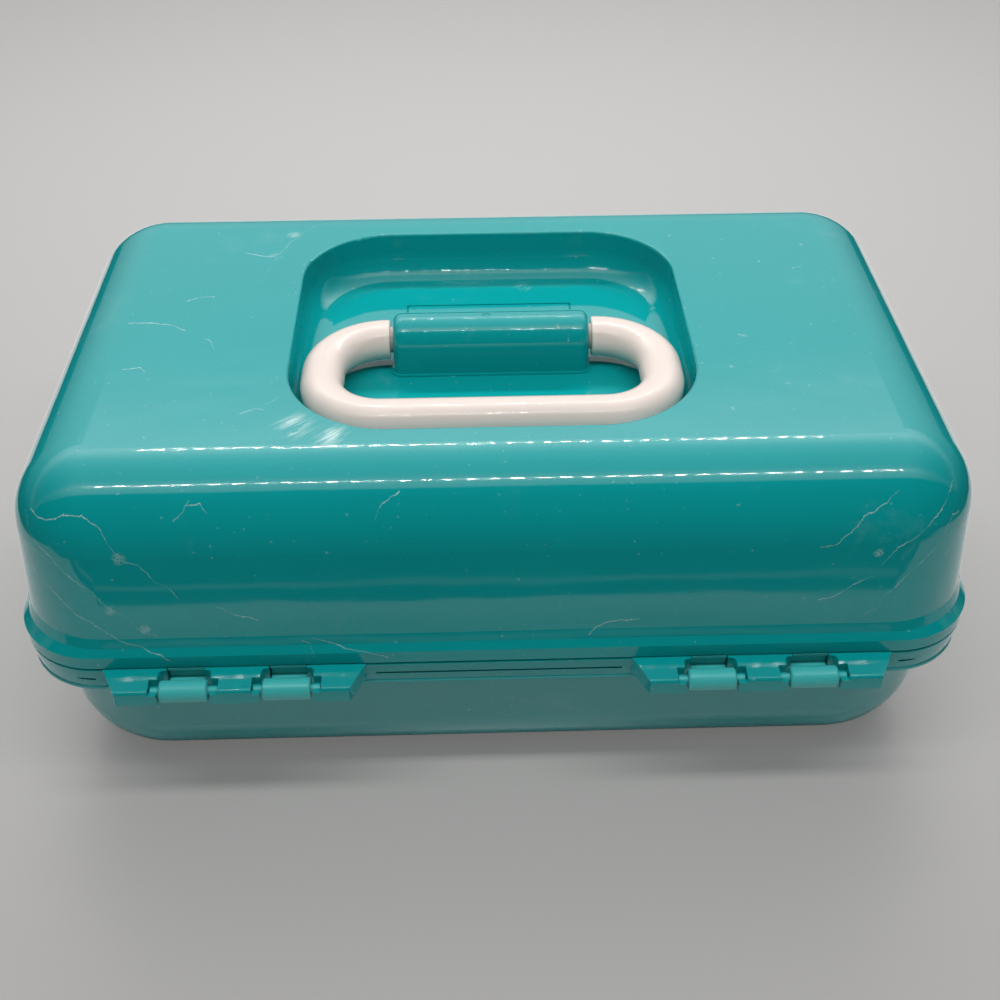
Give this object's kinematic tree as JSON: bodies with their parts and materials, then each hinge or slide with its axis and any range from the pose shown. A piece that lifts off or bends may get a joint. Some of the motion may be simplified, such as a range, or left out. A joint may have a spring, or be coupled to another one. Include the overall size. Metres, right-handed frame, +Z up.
{
  "type": "makeup storage case",
  "caption": "Hinged plastic makeup case with a domed lid, fold-down bail handle in a recess, front latches, lid mirror and a tray that swings up with the lid.",
  "frame": {"origin": "middle of the case at the surface it stands on", "axes": "+X along the case, hinges towards -Y, latches towards +Y, +Z up"},
  "size_m": [0.33, 0.2338, 0.1333],
  "materials": {
    "teal_gloss": "glossy moulded turquoise plastic",
    "teal_satin": "satin turquoise plastic",
    "cream_gloss": "glossy cream white plastic",
    "cream_satin": "satin cream white plastic",
    "steel": "plain steel rivets and pins",
    "mirror_glass": "silvered glass"
  },
  "bodies": {
    "base": {"base_shell": "teal_gloss", "case_rivets": "steel"},
    "lid": {"lid_shell": "teal_gloss", "handle_cover": "teal_gloss", "mirror_frame": "teal_gloss", "mirror": "mirror_glass", "latch_pin_left": "steel", "latch_pin_right": "steel", "lid_rivets": "steel", "hinge_knuckle_1": "teal_satin", "hinge_knuckle_2": "teal_satin", "hinge_knuckle_3": "teal_satin", "hinge_knuckle_4": "teal_satin"},
    "handle": {"handle": "cream_gloss"},
    "latch_left": {"latch_left": "cream_gloss"},
    "latch_right": {"latch_right": "cream_gloss"},
    "tray": {"tray": "cream_satin", "tray_rivets": "steel"},
    "arm_rear_left": {"arm_rear_left": "cream_satin"},
    "arm_front_left": {"arm_front_left": "cream_satin"},
    "drag_link_left": {"drag_link_left": "cream_satin", "link_rivet_left": "steel"},
    "arm_rear_right": {"arm_rear_right": "cream_satin"},
    "arm_front_right": {"arm_front_right": "cream_satin"},
    "drag_link_right": {"drag_link_right": "cream_satin", "link_rivet_right": "steel"}
  },
  "joints": [
    {"name": "lid_hinge", "type": "hinge", "parent": "base", "child": "lid", "pos_m": [0, -0.1132, 0.0582], "axis": [1, 0, 0], "range_deg": [0, 105]},
    {"name": "handle_swing", "type": "hinge", "parent": "lid", "child": "handle", "pos_m": [0, 0, 0.1237], "axis": [-1, 0, 0], "range_deg": [0, 180]},
    {"name": "latch_left_hinge", "type": "hinge", "parent": "lid", "child": "latch_left", "pos_m": [-0.0894, 0.1107, 0.076], "axis": [1, 0, 0], "range_deg": [0, 110]},
    {"name": "latch_right_hinge", "type": "hinge", "parent": "lid", "child": "latch_right", "pos_m": [0.0894, 0.1107, 0.076], "axis": [1, 0, 0], "range_deg": [0, 110]},
    {"name": "arm_rear_left_pivot", "type": "hinge", "parent": "base", "child": "arm_rear_left", "pos_m": [-0.1524, -0.068, 0.055], "axis": [1, 0, 0], "range_deg": [0, 105]},
    {"name": "arm_front_left_pivot", "type": "hinge", "parent": "base", "child": "arm_front_left", "pos_m": [-0.1524, 0.008, 0.055], "axis": [1, 0, 0], "range_deg": [0, 105]},
    {"name": "drag_link_left_pivot", "type": "hinge", "parent": "lid", "child": "drag_link_left", "pos_m": [-0.1551, -0.0772, 0.0712], "axis": [1, 0, 0], "range_deg": [-105, 0]},
    {"name": "arm_rear_right_pivot", "type": "hinge", "parent": "base", "child": "arm_rear_right", "pos_m": [0.1524, -0.068, 0.055], "axis": [1, 0, 0], "range_deg": [0, 105]},
    {"name": "arm_front_right_pivot", "type": "hinge", "parent": "base", "child": "arm_front_right", "pos_m": [0.1524, 0.008, 0.055], "axis": [1, 0, 0], "range_deg": [0, 105]},
    {"name": "drag_link_right_pivot", "type": "hinge", "parent": "lid", "child": "drag_link_right", "pos_m": [0.1551, -0.0772, 0.0712], "axis": [1, 0, 0], "range_deg": [-105, 0]},
    {"name": "tray_pivot", "type": "hinge", "parent": "arm_rear_left", "child": "tray", "pos_m": [0, -0.00891, 0.04458], "axis": [1, 0, 0], "range_deg": [-105, 0]}
  ],
  "couplings": [
    {"joint": "arm_rear_left_pivot", "follows": "lid_hinge", "ratio": 1},
    {"joint": "arm_front_left_pivot", "follows": "lid_hinge", "ratio": 1},
    {"joint": "drag_link_left_pivot", "follows": "lid_hinge", "ratio": -1},
    {"joint": "arm_rear_right_pivot", "follows": "lid_hinge", "ratio": 1},
    {"joint": "arm_front_right_pivot", "follows": "lid_hinge", "ratio": 1},
    {"joint": "drag_link_right_pivot", "follows": "lid_hinge", "ratio": -1},
    {"joint": "tray_pivot", "follows": "lid_hinge", "ratio": -1}
  ]
}
